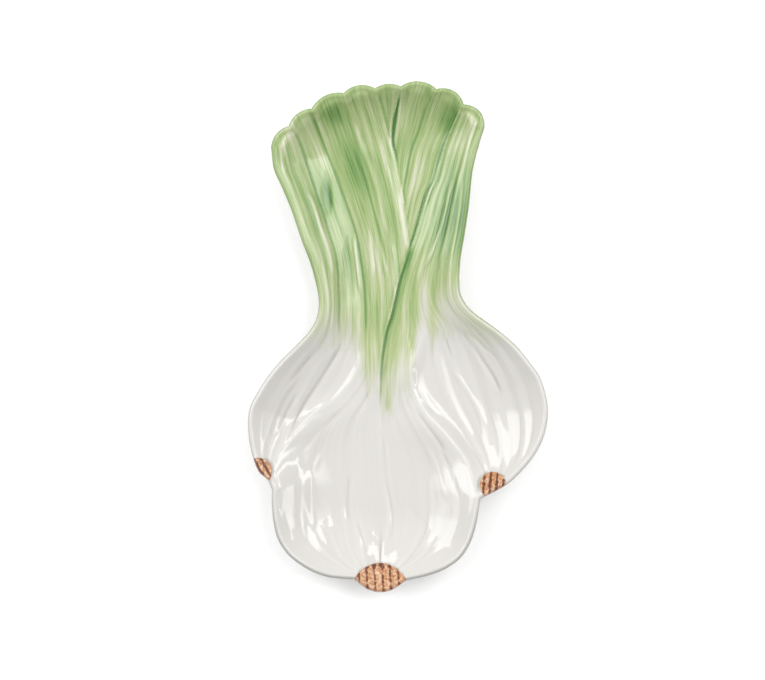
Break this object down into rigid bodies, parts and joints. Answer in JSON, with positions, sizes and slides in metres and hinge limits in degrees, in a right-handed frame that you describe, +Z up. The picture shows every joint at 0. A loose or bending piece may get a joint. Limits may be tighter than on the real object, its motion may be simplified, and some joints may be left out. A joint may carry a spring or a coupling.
{
  "type": "ceramic serving dish moulded as a bunch of bulbs with leaves",
  "caption": "Shallow glazed ceramic serving dish moulded as a bunch of leafy bulbs, with a scalloped leaf-tip rim, root plates and a foot ring.",
  "frame": {"origin": "on the table under the middle of the dish's box, at the height of the foot ring's sole", "axes": "+Z up out of the dish, +Y from the root plates towards the leaf tips, +X to the right as seen from above"},
  "size_m": [0.1764, 0.3, 0.028],
  "materials": {
    "glaze": "clear gloss glaze over white clay, with green leaves and brown root plates painted under it"
  },
  "bodies": {
    "root": {"dish": "glaze"}
  },
  "joints": []
}
